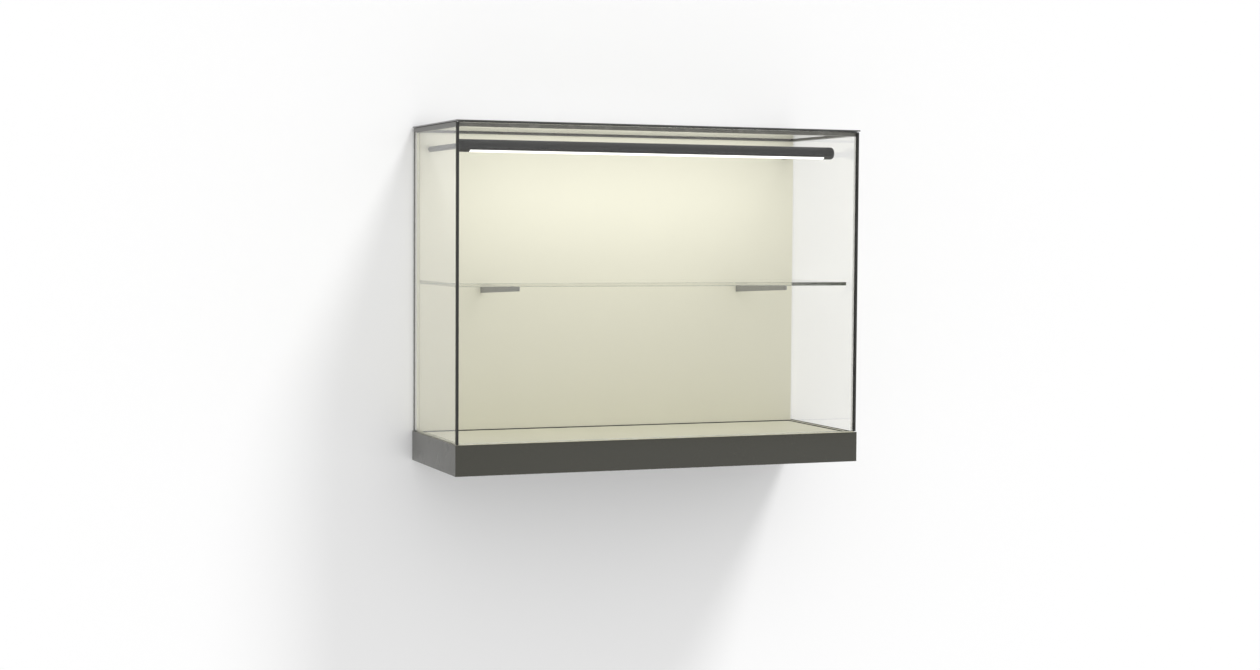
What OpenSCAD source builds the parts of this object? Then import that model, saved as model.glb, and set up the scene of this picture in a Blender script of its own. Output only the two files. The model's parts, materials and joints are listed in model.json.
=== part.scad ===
// Wall mounted glass showcase with a pivoting glass door, a glass shelf and a turning lamp.
// Millimetres. X runs to the viewer's right, Y into the wall, Z up.
// The wall is the plane Y = 0, and the origin is the centre of the four wall fixings.

/* [Case] */
// Overall width of the case
case_w = 1000; // [840:10:1400]
// Overall depth, from the wall to the front of the base
case_d = 360; // [320:5:460]
// Overall height, from the underside of the base to the top of the cap
case_h = 790; // [720:10:1000]

/* [Base] */
// Height of the base
base_h = 70; // [66:1:110]
// Thickness of the folded sheet of the base
sheet = 2; // [1.5:0.25:3]
// Outer bend radius at the upright edges of the base
bend_r = 2.5; // [1:0.25:4]
// Width of the lip that carries the bottom cover
lip_w = 16; // [14:1:20]
// Thickness of the bottom cover
cover_t = 2; // [1.5:0.25:3]
// Gap round the bottom cover
cover_gap = 0.5; // [0.3:0.1:1]
// Shank diameter of the cover screws
cover_screw_d = 3.2; // [2.5:0.1:4]
// Head diameter of the cover screws
cover_screw_head = 6.2; // [5:0.1:7]
// Length of the cover screws
cover_screw_l = 8; // [6:0.5:10]
// Depth of the deck below the top of the base
deck_drop = 2; // [1:0.25:5]
// Thickness of the deck panel
deck_t = 10; // [8:0.5:12]
// Gap round the deck panel, filled by its seal
deck_gap = 0.8; // [0.5:0.1:2]
// Thickness of the ledge under the deck
rim_ledge_t = 3.5; // [3:0.25:5]
// Width of the ledge under the deck
rim_ledge_w = 8; // [6:0.5:12]
// Width of the rim between a side pane and the deck
rim_side_w = 7; // [5:0.5:12]
// Width of the rim between the door seal and the deck
rim_front_w = 8.5; // [6:0.5:14]
// Width of the rim in front of the back panel
rim_rear_w = 3; // [1:0.5:8]
// Width of each deck bearer
bearer_w = 24; // [16:1:40]
// Height of each deck bearer below the ledge
bearer_h = 10; // [8:1:16]
// Distance of the deck bearers from the middle of the case
bearer_x = 160; // [120:5:240]
// Length of a vent slot in the bottom cover
vent_l = 60; // [30:5:100]
// Width of a vent slot
vent_w = 5; // [3:0.5:7]
// Pitch of the vent slots
vent_pitch = 14; // [10:1:16]
// Number of vent slots
vent_count = 9; // [3:1:9]

/* [Glazing] */
// Thickness of all panes
glass_t = 8; // [6:0.5:10]
// Ground edge of all panes
arris = 0.6; // [0.3:0.1:1]
// Bonding gap beside the panes
glazing_gap = 0.5; // [0.3:0.1:0.8]
// Depth of the side panes in the base
glass_bite = 8; // [5:0.5:10]
// Thickness of the setting blocks under the side panes
block_t = 2; // [1:0.5:3]
// Length of a setting block
block_l = 60; // [40:5:80]
// Distance of a setting block from the end of its pane
block_inset = 40; // [20:5:60]

/* [Top] */
// Thickness of the top cap
cap_t = 3; // [2:0.25:5]
// Overhang of the top cap beyond the panes
cap_overhang = 2; // [1:0.25:2.5]
// Width of the top cap's ring at the front and the sides
cap_w = 23; // [20:1:40]
// Width of the top cap's ring along the wall
cap_rear_w = 26; // [25:1:45]
// Thickness of the upright leg of the top rails
rail_leg = 5; // [4:0.5:8]
// Depth of the rear top rail along the wall
rail_rear = 20; // [18:0.5:24]
// Width of the ledge under the top pane
rail_ledge_w = 4; // [3:0.5:8]
// Thickness of the ledge under the top pane
rail_ledge_t = 3; // [2:0.25:5]
// Shank diameter of the cap screws
cap_screw_d = 2.5; // [2:0.1:3]
// Head diameter of the cap screws
cap_screw_head = 5; // [4:0.25:6]
// Length of the cap screws
cap_screw_l = 9; // [6:0.5:12]
// Number of cap screws along the front and along the wall
cap_screws_long = 5; // [3:1:9]
// Number of cap screws along each side
cap_screws_side = 2; // [1:1:4]

/* [Door] */
// Width of the dark bars on the door's upright edges
stile_w = 5; // [5:0.25:10]
// Thickness of the seal behind the door
seal_t = 2; // [1:0.25:3]
// Clear gap between door and seal
door_clear = 1; // [1:0.1:2]
// Gap under the door
sill_gap = 2; // [1:0.25:3]
// Gap over the door
head_gap = 2; // [1:0.25:3]
// Clear gap between the door and the sill seal
sill_clear = 0.4; // [0.3:0.1:0.8]
// Distance of the sill seal behind the faces of the door
sill_inset = 1; // [0.5:0.25:2]
// Diameter of the pivot pins and of the lock bolt
pin_d = 3; // [2.5:0.1:3.4]
// Depth of a pivot pin in its bar
pin_bite = 12; // [8:1:20]
// Outer diameter of the pivot bushes
bush_d = 5; // [4.6:0.1:5.4]
// Length of the lower pivot bush
bush_l = 10; // [8:1:14]
// Radial running clearance of pins, bolt and bushes
running = 0.05; // [0.03:0.01:0.1]
// Radial clearance of the lock bolt's socket in the door
socket_clear = 0.3; // [0.2:0.05:0.5]

/* [Back] */
// Distance from the wall to the face of the back panel
back_depth = 21; // [20:0.5:30]
// Thickness of the back panel
panel_t = 2; // [1.5:0.25:3]
// Gap between the back panel and a side pane
panel_side_gap = 1.5; // [1.25:0.25:8]
// Gap above and below the back panel
panel_end_gap = 0.5; // [0.3:0.1:1]
// Thickness of the folded sheet of the back pan
pan_sheet = 1.5; // [1:0.25:2.5]
// Thickness of the bonding tape between pan and side pane
tape_t = 1; // [0.5:0.1:1.5]
// Diameter of the wall fixing holes
fixing_d = 9; // [7:0.5:11]
// Distance of the fixing holes from the sides of the pan
fixing_inset_x = 88.5; // [70:0.5:110]
// Distance of the fixing holes from the ends of the pan
fixing_inset_z = 103; // [90:1:130]
// Side of the square plates round the fixing holes
plate_w = 60; // [40:2:80]
// Thickness of the plates round the fixing holes
plate_t = 5; // [3:0.5:8]
// Diameter of the panel magnets
magnet_d = 18; // [14:1:24]
// Thickness of the panel magnets
magnet_t = 4; // [3:0.5:6]
// Diameter of the posts behind the magnets
post_d = 10; // [8:1:14]
// Spacing of the magnets across the panel
magnet_pitch = 250; // [180:10:280]
// Distance of the magnets from the ends of the pan
magnet_inset_z = 50; // [30:5:60]
// Diameter of the bolts through the pan's folded ends
pan_bolt_d = 5; // [4:0.5:6]
// Distance of the inner pan bolts from the middle
pan_bolt_inner = 150; // [100:10:220]
// Distance of the outer pan bolts from the sides of the pan
pan_bolt_inset = 60; // [40:5:80]
// Depth of the pan bolts in the rim and in the rear top rail
pan_bolt_bite = 8; // [6:0.5:8]

/* [Shelf] */
// Height of the shelf's top above the underside of the base
shelf_rise = 428; // [300:1:560]
// Thickness of the glass shelf
shelf_t = 8; // [6:0.5:12]
// Gap between the shelf and a side pane
shelf_side_gap = 2.5; // [1:0.25:8]
// Gap between the shelf and the back panel
shelf_rear_gap = 1; // [0.5:0.25:4]
// Distance of the shelf's front edge behind the door
shelf_setback = 29; // [15:1:120]
// Overhang of the shelf beyond the front of the brackets
shelf_overhang = 18; // [5:1:40]
// Distance of the brackets from the sides of the case
bracket_inset = 165; // [140:5:200]
// Thickness of the bracket blades
bracket_t = 5; // [4:0.5:8]
// Height of a bracket blade at the back panel
bracket_rear_h = 22; // [18:1:32]
// Height of a bracket blade at its front end
bracket_front_h = 10; // [8:0.5:16]
// Radius at the lower front corner of a blade
bracket_nose_r = 3; // [1:0.5:5]
// Height of the tang behind the back panel
tang_h = 48; // [44:1:60]
// Thickness of the pads under the shelf
pad_t = 0.8; // [0.5:0.1:2]
// Length of the pads under the shelf
pad_l = 30; // [15:5:40]
// Distance of the pads from the ends of the blade
pad_inset = 30; // [10:5:60]
// Wall of the drilled uprights
channel_wall = 3; // [2:0.25:4]
// Clearance beside the tang in its upright and beside the blade in the panel
blade_clear = 0.1; // [0.1:0.05:0.3]
// Gap between the tang and the back panel
tang_gap = 0.5; // [0.3:0.1:1]
// Gap between the uprights and the back panel
channel_gap = 1.5; // [0.5:0.25:3]
// Distance of the upper bracket bolt below the top of the blade
bracket_bolt_drop = 11; // [9:0.5:14]
// Pitch of the holes in the uprights
hole_pitch = 25; // [20:1:30]
// Number of hole steps above and below the shelf's own place
hole_steps = 4; // [1:1:5]
// Diameter of the bracket bolts
bracket_bolt_d = 5; // [4:0.5:6]

/* [Lamp] */
// Diameter of the lamp
lamp_d = 29; // [26:0.5:36]
// Height of the opal lens in the lamp's section
lens_h = 4.8; // [4:0.1:6]
// Wall of the lens
lens_wall = 1.6; // [1.2:0.1:2]
// Wall of the lamp tube over the wire duct
lamp_wall = 2.5; // [2:0.1:4]
// Width of the light chamber
chamber_w = 18; // [16:0.25:19]
// Distance of the lamp's axis below the top rails
lamp_drop = 39; // [30:1:70]
// Distance of the lamp's axis behind the front of the case
lamp_setback = 89; // [60:1:150]
// Distance of the lamp's ends from the sides of the case
lamp_end_gap = 29; // [24:1:60]
// Length of a lamp holder
holder_l = 20.7; // [18:0.1:30]
// Corner radius on the outer end of a lamp holder
holder_round = 6; // [2:0.5:8]
// Length of an end plug of the lamp tube
plug_l = 6; // [5:0.5:12]
// Gap between lamp holder and end plug
turn_gap = 0.3; // [0.2:0.1:0.6]
// Diameter of the stub that the lamp turns on
stub_d = 8; // [6:0.5:12]
// Gap between a stub and the end of the lamp tube
stub_gap = 0.5; // [0.3:0.1:1]
// Outer diameter of the lamp arms
arm_d = 13; // [10:0.5:16]
// Bore of the lamp arms
arm_bore = 8; // [5:0.5:8]
// Depth of an arm in its holder
arm_bite = 7.5; // [5:0.5:8]
// Diameter of the arm sockets on the pan
socket_d = 22; // [19:1:30]
// Length of the arm sockets
socket_l = 14; // [12:0.5:16]
// Thickness of the floor of the arm sockets
socket_floor = 2; // [1:0.5:4]
// Width of the light board
board_w = 12; // [8:0.5:14]
// Thickness of the light board
board_t = 1.2; // [0.8:0.1:2]
// Pitch of the light chips
chip_pitch = 20; // [10:1:40]

/* [Lock] */
// Travel of the push lock
lock_travel = 8; // [6:0.5:9]
// Distance of the lock's axis beside the bolt
lock_side = 22; // [20:1:30]
// Distance of the lock's axis behind the bolt
lock_back = 20; // [18:1:28]
// Barrel diameter of the lock housing
housing_d = 19; // [18:0.5:22]
// Length of the lock housing's barrel
housing_l = 24; // [22:1:26]
// Margin of the lock's bracket round the housing's flange
lock_plate_margin = 5; // [3:0.5:6]
// Height of the leg of the lock's bracket
lock_leg_h = 34; // [24:1:38]
// Height of the lock's nut
lock_nut_h = 4; // [3:0.5:6]
// Width across the corners of the lock's nut beyond the flange
lock_nut_extra = 4; // [3:0.5:5]
// Diameter of the lock plunger
plunger_d = 13; // [11:0.5:14]
// Diameter of the key plug
plug_d = 8; // [6:0.5:9]
// Length of the key plug
key_plug_l = 20; // [14:1:24]
// Thickness of the arm that carries the bolt
carrier_t = 3; // [2:0.5:4]
// Diameter of the arm's eye round the bolt, and width of the arm
carrier_w = 5; // [4.5:0.1:5.4]
// Gap between the arm and the lock housing
carrier_gap = 2; // [1:0.25:2]

/* [Supply] */
// Length of the lamp driver
driver_l = 150; // [100:5:220]
// Width of the lamp driver
driver_w = 40; // [30:1:60]
// Height of the lamp driver
driver_h = 28; // [20:1:32]
// Length of a fixing ear on the lamp driver
driver_ear_l = 10; // [8:1:16]
// Thickness of the fixing ears
driver_ear_t = 2.5; // [1.5:0.5:4]
// Hole in the fixing ears
driver_ear_hole = 4.2; // [3:0.1:5]
// Length of the wiring recess at each end of the lamp driver
driver_recess_l = 12; // [8:1:20]
// Depth of the wiring recesses
driver_recess_h = 13; // [6:1:14]
// Wall beside the wiring recesses
driver_recess_wall = 4; // [2:0.5:6]
// Number of ways of the terminal block
terminal_ways = 3; // [2:1:6]
// Pitch of the ways
terminal_pitch = 10; // [8:0.5:12]
// Width of the terminal block
terminal_w = 22; // [18:1:30]
// Width of the raised middle of the terminal block
terminal_top_w = 12; // [11:0.5:16]
// Height of the terminal block
terminal_h = 16; // [14:0.5:20]
// Height of the wire steps on both sides of the terminal block
terminal_step_h = 9; // [6:0.5:12]
// Diameter of the screw wells
terminal_well_d = 4; // [3:0.25:4.5]
// Depth of the screw wells
terminal_well_h = 6; // [3:0.5:8]
// Bore of the cable grommet
grommet_bore = 9; // [6:0.5:12]
// Wall of the cable grommet
grommet_wall = 3.5; // [2.5:0.5:5]
// Width of the grommet's flange
grommet_flange_w = 3; // [2:0.5:5]
// Thickness of the grommet's flange
grommet_flange_t = 2.5; // [1.5:0.5:4]
// Distance of the cable entry from the middle of the case
entry_x = 300; // [240:5:320]
// Height of the cable entry above the underside of the base
entry_rise = 30; // [24:1:32]
// Diameter of the wire hole between base and pan
wire_hole_d = 12; // [8:1:14]

/* [Hidden] */
$fn = 64;

// Colours
steel_paint = "#50504a";
rail_paint = "#62625e";
cap_paint = "#3c3c3a";
cream_paint = "#dedcc8";
lamp_paint = "#515151";
zinc = "#9a9c9d";
black_rubber = "#202020";
grey_rubber = "#94948f";
tape_white = "#ecebe2";
silicone_pale = "#dcdac9";
screw_black = "#2c2c2c";
magnet_nickel = "#b4b6b8";
driver_white = "#e4e4e0";
terminal_grey = "#d8d8d4";
washer_black = "#2a2a2a";
bush_bronze = "#b08d57";
blade_grey = "#8f8e8a";
board_white = "#f2f2ee";
chip_yellow = "#f4e7a8";
lock_chrome = "#c8c8c6";
key_brass = "#b9a36a";
clear_glass = [0.86, 0.92, 0.9, 0.35];

// Reach of a cut beyond the face it opens, and of a blind hole beyond the screw in it
over = 1;

// Bolt heads, as shares of the bolt's diameter
bolt_head_w = 1.7;
bolt_head_h = 0.6;
bolt_nut_h = 0.8;

// Main levels
rail_h = rail_ledge_t + glass_t;
floor_z = -(base_h + case_h - cap_t - rail_h) / 2;
base_top_z = floor_z + base_h;
cap_z = floor_z + case_h - cap_t;
rail_z = cap_z - rail_h;

// Main faces, from the outside of the case inwards
half_w = case_w / 2;
front_y = -case_d;
shell_in_x = half_w - sheet;
shell_in_y = front_y + sheet;
hood_inset = sheet + glazing_gap;
pane_x = half_w - hood_inset;
pane_in_x = pane_x - glass_t;
pane_rear_y = -hood_inset;
door_front_y = front_y + hood_inset;
door_back_y = door_front_y + glass_t;
hood_front_y = door_back_y + door_clear + seal_t;

// Rim and deck
rim_h = deck_drop + deck_t + rim_ledge_t;
rim_z = base_top_z - rim_h;
deck_x = pane_in_x - glazing_gap - rim_side_w;
deck_front_y = hood_front_y + rim_front_w;
deck_rear_y = -back_depth - rim_rear_w;
deck_z = base_top_z - deck_drop;

// Top rails
rail_x = pane_in_x - glazing_gap;
rail_front_y = hood_front_y;

// Back pan
pan_x = pane_in_x - tape_t;
pan_front_y = -back_depth + panel_t;
fixing_x = pan_x - fixing_inset_x;
fixing_z = rail_z - fixing_inset_z;
magnet_z = rail_z - magnet_inset_z;
pan_bolt_outer = pan_x - pan_bolt_inset;
pan_bolt_x = [-pan_bolt_outer, -pan_bolt_inner, pan_bolt_inner, pan_bolt_outer];
pan_bolt_y = (pan_front_y - pan_sheet) / 2;
pan_bolt_head_d = bolt_head_w * pan_bolt_d;
pan_bolt_head_h = bolt_head_h * pan_bolt_d;

// Door
door_z = base_top_z + sill_gap;
door_top_z = cap_z - head_gap;
pivot_x = -pane_x + stile_w / 2;
pivot_y = door_front_y + glass_t / 2;
bolt_x = -pivot_x;
bolt_socket_depth = lock_travel + sill_gap + 2 * over;

// Shelf
bracket_x = half_w - bracket_inset;
shelf_z = floor_z + shelf_rise;
bracket_z = shelf_z - shelf_t - pad_t;
shelf_front_y = door_back_y + shelf_setback;
blade_front_y = shelf_front_y + shelf_overhang;
shelf_rear_y = -back_depth - shelf_rear_gap;
tang_rear_y = -pan_sheet - channel_wall - blade_clear;
tang_front_y = pan_front_y + tang_gap;
channel_half = bracket_t / 2 + blade_clear + channel_wall;
channel_front_y = pan_front_y + channel_gap;
bracket_bolt_y = (tang_rear_y + tang_front_y) / 2;
bracket_bolt_z = bracket_z - bracket_bolt_drop;

// Lamp
lamp_r = lamp_d / 2;
lamp_y = front_y + lamp_setback;
lamp_z = rail_z - lamp_drop;
holder_end_x = half_w - lamp_end_gap;
plug_end_x = holder_end_x - holder_l - turn_gap;
tube_end_x = plug_end_x - plug_l;
arm_x = holder_end_x - holder_l / 2;
arm_front_y = lamp_y + lamp_r - arm_bite;
arm_rear_y = -pan_sheet - socket_floor;
lens_plane = lens_h - lamp_r;
// Web between the light chamber and the wire duct, measured from the lamp's axis
chamber_top = -1;
duct_floor = 2;

// Lock
lock_x = bolt_x - lock_side;
lock_y = pivot_y + lock_back;
housing_flange_t = 2;
housing_flange_w = 2.5;
housing_flange_d = housing_d + 2 * housing_flange_w;
housing_z = floor_z + lock_travel;
lock_plate_z = housing_z + housing_flange_t;
housing_top_z = lock_plate_z + housing_l;
carrier_z = housing_top_z + carrier_gap;
bolt_tip_z = base_top_z - sill_clear;

// Helpers
module block(low, high) {
    translate(low) cube(high - low);
}

module rod_x(d, x0, x1, y, z) {
    translate([x0, y, z]) rotate([0, 90, 0]) cylinder(h = x1 - x0, d = d);
}

module rod_y(d, y0, y1, x, z) {
    translate([x, y1, z]) rotate([90, 0, 0]) cylinder(h = y1 - y0, d = d);
}

module rod_z(d, z0, z1, x, y) {
    translate([x, y, z0]) cylinder(h = z1 - z0, d = d);
}

module both_sides() {
    children();
    mirror([1, 0, 0]) children();
}

// Profile in the plane of Y and Z, drawn out along X about the middle
module along_x(length) {
    rotate([90, 0, 90]) linear_extrude(height = length, center = true) children();
}

module clipped_square(w, h, c) {
    x = w / 2;
    y = h / 2;
    polygon([
        [-x + c, -y], [x - c, -y], [x, -y + c], [x, y - c],
        [x - c, y], [-x + c, y], [-x, y - c], [-x, -y + c]
    ]);
}

// Plate with all its edges ground off at 45 degrees
module ground_plate(low, high) {
    size = high - low;
    translate((low + high) / 2) intersection() {
        linear_extrude(height = size.z, center = true) clipped_square(size.x, size.y, arris);
        rotate([90, 0, 0]) linear_extrude(height = size.y, center = true)
            clipped_square(size.x, size.z, arris);
        along_x(size.x) clipped_square(size.y, size.z, arris);
    }
}

module rounded_square(low, high, r) {
    translate([low.x + r, low.y]) square([high.x - low.x - 2 * r, high.y - low.y]);
    translate([low.x, low.y + r]) square([high.x - low.x, high.y - low.y - 2 * r]);
    for (x = [low.x + r, high.x - r])
        for (y = [low.y + r, high.y - r])
            translate([x, y]) circle(r);
}

// Countersunk screw pointing down from z = 0, or its hole with a larger grow
module sunk_screw(d, head_d, length, grow = 0) {
    head_h = (head_d - d) / 2;
    translate([0, 0, -head_h]) cylinder(h = head_h, d1 = d + grow, d2 = head_d + grow);
    translate([0, 0, -length]) cylinder(h = length - head_h, d = d + grow);
}

// Back

module back_pan() {
    color(cream_paint) difference() {
        block([-pan_x, pan_front_y, base_top_z], [pan_x, 0, rail_z]);
        block([-pan_x + pan_sheet, pan_front_y - over, base_top_z + pan_sheet],
              [pan_x - pan_sheet, -pan_sheet, rail_z - pan_sheet]);
        fixing_holes();
        for (x = pan_bolt_x)
            rod_z(pan_bolt_d + 2 * running, base_top_z - over, rail_z + over, x, pan_bolt_y);
        rod_z(wire_hole_d, base_top_z - over, base_top_z + pan_sheet + over, -entry_x, pan_bolt_y);
    }
}

module fixing_holes() {
    for (x = [-fixing_x, fixing_x])
        for (z = [-fixing_z, fixing_z])
            rod_y(fixing_d, -pan_sheet - plate_t - over, over, x, z);
}

module fixing_plates() {
    color(zinc) difference() {
        for (x = [-fixing_x, fixing_x])
            for (z = [-fixing_z, fixing_z])
                translate([x - plate_w / 2, -pan_sheet - plate_t, z - plate_w / 2])
                    cube([plate_w, plate_t, plate_w]);
        fixing_holes();
    }
}

module bracket_bolt_rows(low_step, high_step) {
    for (step = [low_step : high_step])
        translate([0, bracket_bolt_y, bracket_bolt_z + step * hole_pitch]) children();
}

module upright_right() {
    color(zinc) translate([bracket_x, 0, 0]) difference() {
        block([-channel_half, channel_front_y, base_top_z + pan_sheet],
              [channel_half, -pan_sheet, rail_z - pan_sheet]);
        block([-channel_half + channel_wall, channel_front_y - over, base_top_z],
              [channel_half - channel_wall, -pan_sheet - channel_wall, rail_z]);
        bracket_bolt_rows(-hole_steps - 1, hole_steps)
            rod_x(bracket_bolt_d + 2 * running, -channel_half - over, channel_half + over, 0, 0);
    }
}

module upright_left() {
    mirror([1, 0, 0]) upright_right();
}

module magnet_places() {
    for (x = [-magnet_pitch, 0, magnet_pitch])
        for (z = [-magnet_z, magnet_z])
            translate([x, 0, z]) children();
}

module panel_posts() {
    color(zinc) magnet_places() rod_y(post_d, pan_front_y + magnet_t, -pan_sheet, 0, 0);
}

module panel_magnets() {
    color(magnet_nickel) magnet_places() rod_y(magnet_d, pan_front_y, pan_front_y + magnet_t, 0, 0);
}

module back_panel() {
    panel_x = pane_in_x - panel_side_gap;
    slot_half = bracket_t / 2 + blade_clear;
    color(cream_paint) difference() {
        block([-panel_x, -back_depth, base_top_z + panel_end_gap],
              [panel_x, pan_front_y, rail_z - panel_end_gap]);
        both_sides() {
            block([bracket_x - slot_half, -back_depth - over, bracket_z - bracket_rear_h - blade_clear],
                  [bracket_x + slot_half, pan_front_y + over, bracket_z + blade_clear]);
            rod_y(arm_d + 2 * blade_clear, -back_depth - over, pan_front_y + over, arm_x, lamp_z);
        }
    }
}

module arm_sockets() {
    color(zinc) both_sides() difference() {
        rod_y(socket_d, -pan_sheet - socket_l, -pan_sheet, arm_x, lamp_z);
        rod_y(arm_d + 2 * running, -pan_sheet - socket_l - over, arm_rear_y + running, arm_x, lamp_z);
    }
}

// Bolts down into the rim and up into the rear rail, with their heads inside the pan
module pan_bolts() {
    low_z = base_top_z + pan_sheet;
    high_z = rail_z - pan_sheet;
    color(zinc) for (x = pan_bolt_x) {
        rod_z(pan_bolt_d, base_top_z - pan_bolt_bite, low_z, x, pan_bolt_y);
        rod_z(pan_bolt_head_d, low_z, low_z + pan_bolt_head_h, x, pan_bolt_y);
        rod_z(pan_bolt_d, high_z, rail_z + pan_bolt_bite, x, pan_bolt_y);
        rod_z(pan_bolt_head_d, high_z - pan_bolt_head_h, high_z, x, pan_bolt_y);
    }
}

module pan_bolt_holes() {
    depth = pan_bolt_bite + over;
    for (x = pan_bolt_x) {
        rod_z(pan_bolt_d + 2 * running, base_top_z - depth, base_top_z + over, x, pan_bolt_y);
        rod_z(pan_bolt_d + 2 * running, rail_z - over, rail_z + depth, x, pan_bolt_y);
    }
}

module pane_tapes() {
    color(tape_white) both_sides()
        block([pan_x, pan_front_y, base_top_z], [pane_in_x, pane_rear_y, rail_z]);
}

// Base

module base_shell() {
    color(steel_paint) difference() {
        translate([0, 0, floor_z]) linear_extrude(height = base_h)
            rounded_square([-half_w, front_y], [half_w, 0], bend_r);
        block([-shell_in_x, shell_in_y, floor_z + cover_t + sheet], [shell_in_x, -sheet, base_top_z + over]);
        block([-shell_in_x, shell_in_y, floor_z - over], [shell_in_x, -sheet, floor_z + cover_t]);
        block([-shell_in_x + lip_w, shell_in_y + lip_w, floor_z],
              [shell_in_x - lip_w, -sheet - lip_w, base_top_z]);
        rod_y(grommet_bore + 2 * grommet_wall, -sheet - over, over, -entry_x, floor_z + entry_rise);
        cover_screw_places() sunk_screw(cover_screw_d, cover_screw_head, cover_screw_l, 2 * running);
    }
}

module base_rim() {
    color(cream_paint) difference() {
        block([-shell_in_x, shell_in_y, rim_z], [shell_in_x, -sheet, base_top_z]);
        block([-deck_x, deck_front_y, rim_z + rim_ledge_t], [deck_x, deck_rear_y, base_top_z + over]);
        block([-deck_x + rim_ledge_w, deck_front_y + rim_ledge_w, rim_z - over],
              [deck_x - rim_ledge_w, deck_rear_y - rim_ledge_w, base_top_z]);
        both_sides()
            block([rail_x, hood_front_y - glazing_gap, base_top_z - glass_bite - block_t],
                  [shell_in_x + over, -sheet + over, base_top_z + over]);
        rod_z(bush_d, base_top_z - bush_l, base_top_z + over, pivot_x, pivot_y);
        rod_z(pin_d + 2 * running, rim_z - over, base_top_z + over, bolt_x, pivot_y);
        rod_z(wire_hole_d, rim_z - over, base_top_z + over, -entry_x, pan_bolt_y);
        pan_bolt_holes();
    }
}

module cover_screw_places() {
    edge_x = shell_in_x - lip_w / 2;
    edge_y = [shell_in_y + lip_w / 2, -sheet - lip_w / 2];
    for (x = [-edge_x, -edge_x / 3, edge_x / 3, edge_x])
        for (y = edge_y)
            translate([x, y, floor_z]) mirror([0, 0, 1]) children();
}

module base_cover() {
    color(steel_paint) difference() {
        block([-shell_in_x + cover_gap, shell_in_y + cover_gap, floor_z],
              [shell_in_x - cover_gap, -sheet - cover_gap, floor_z + cover_t]);
        cover_screw_places() sunk_screw(cover_screw_d, cover_screw_head, cover_screw_l, 2 * running);
        rod_z(housing_flange_d + 2 * cover_gap, floor_z - over, floor_z + cover_t + over, lock_x, lock_y);
        for (i = [0 : vent_count - 1])
            translate([driver_l / 2 + i * vent_pitch, -case_d / 2, floor_z - over])
                linear_extrude(height = cover_t + 2 * over) {
                    square([vent_w, vent_l - vent_w], center = true);
                    for (end = [-1, 1])
                        translate([0, end * (vent_l - vent_w) / 2]) circle(d = vent_w);
                }
    }
}

module cover_screws() {
    color(zinc) cover_screw_places() sunk_screw(cover_screw_d, cover_screw_head, cover_screw_l);
}

module deck_panel() {
    color(cream_paint)
        ground_plate([-deck_x + deck_gap, deck_front_y + deck_gap, deck_z - deck_t],
                     [deck_x - deck_gap, deck_rear_y - deck_gap, deck_z]);
}

// Ring between the deck and the rim, up to the top of the base
module deck_seal() {
    color(black_rubber) difference() {
        block([-deck_x, deck_front_y, deck_z - deck_t], [deck_x, deck_rear_y, base_top_z]);
        block([-deck_x + deck_gap, deck_front_y + deck_gap, deck_z - deck_t - over],
              [deck_x - deck_gap, deck_rear_y - deck_gap, base_top_z + over]);
    }
}

// Each bearer hangs under the ledge at both ends and holds up the middle of the deck
module deck_bearers() {
    inner_front_y = deck_front_y + rim_ledge_w + deck_gap;
    inner_rear_y = deck_rear_y - rim_ledge_w - deck_gap;
    low_x = bearer_x - bearer_w / 2;
    high_x = bearer_x + bearer_w / 2;
    color(zinc) both_sides() {
        block([low_x, deck_front_y, rim_z - bearer_h], [high_x, deck_rear_y, rim_z]);
        block([low_x, inner_front_y, rim_z], [high_x, inner_rear_y, deck_z - deck_t]);
    }
}

// Supply

// Driver with an ear and an open wiring recess at each end, on the bottom cover
module led_driver() {
    end_x = driver_l / 2;
    side_y = driver_w / 2;
    well_y = side_y - driver_recess_wall;
    color(driver_white) translate([-end_x, -case_d / 2, floor_z + cover_t]) difference() {
        union() {
            block([-end_x, -side_y, 0], [end_x, side_y, driver_h]);
            block([-end_x - driver_ear_l, -side_y, 0], [end_x + driver_ear_l, side_y, driver_ear_t]);
        }
        both_sides() {
            rod_z(driver_ear_hole, -over, driver_ear_t + over, end_x + driver_ear_l / 2, 0);
            block([end_x - driver_recess_l, -well_y, driver_h - driver_recess_h],
                  [end_x + over, well_y, driver_h + over]);
        }
    }
}

// Block with a wire step along both sides and two screw wells for each way
module terminal_block() {
    end_x = terminal_ways * terminal_pitch / 2;
    step_y = terminal_top_w / 2;
    color(terminal_grey) translate([-entry_x, -case_d / 3, floor_z + cover_t]) difference() {
        union() {
            block([-end_x, -terminal_w / 2, 0], [end_x, terminal_w / 2, terminal_step_h]);
            block([-end_x, -step_y, terminal_step_h], [end_x, step_y, terminal_h]);
        }
        for (i = [0 : terminal_ways - 1])
            for (side = [-1, 1])
                rod_z(terminal_well_d, terminal_h - terminal_well_h, terminal_h + over,
                      (i + 0.5) * terminal_pitch - end_x, side * step_y / 2);
    }
}

module cable_grommet() {
    color(black_rubber) translate([-entry_x, 0, floor_z + entry_rise]) rotate([90, 0, 0]) rotate_extrude() {
        translate([grommet_bore / 2, 0]) square([grommet_wall, sheet]);
        translate([grommet_bore / 2, sheet]) square([grommet_wall + grommet_flange_w, grommet_flange_t]);
    }
}

// Hood

module right_glass() {
    color(clear_glass)
        ground_plate([pane_in_x, hood_front_y, base_top_z - glass_bite],
                     [pane_x, pane_rear_y, cap_z - glazing_gap]);
}

module left_glass() {
    mirror([1, 0, 0]) right_glass();
}

module setting_blocks() {
    block_z = base_top_z - glass_bite - block_t;
    color(black_rubber) both_sides()
        for (y = [hood_front_y + block_inset, pane_rear_y - block_inset - block_l])
            block([pane_in_x, y, block_z], [pane_x, y + block_l, block_z + block_t]);
}

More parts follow.
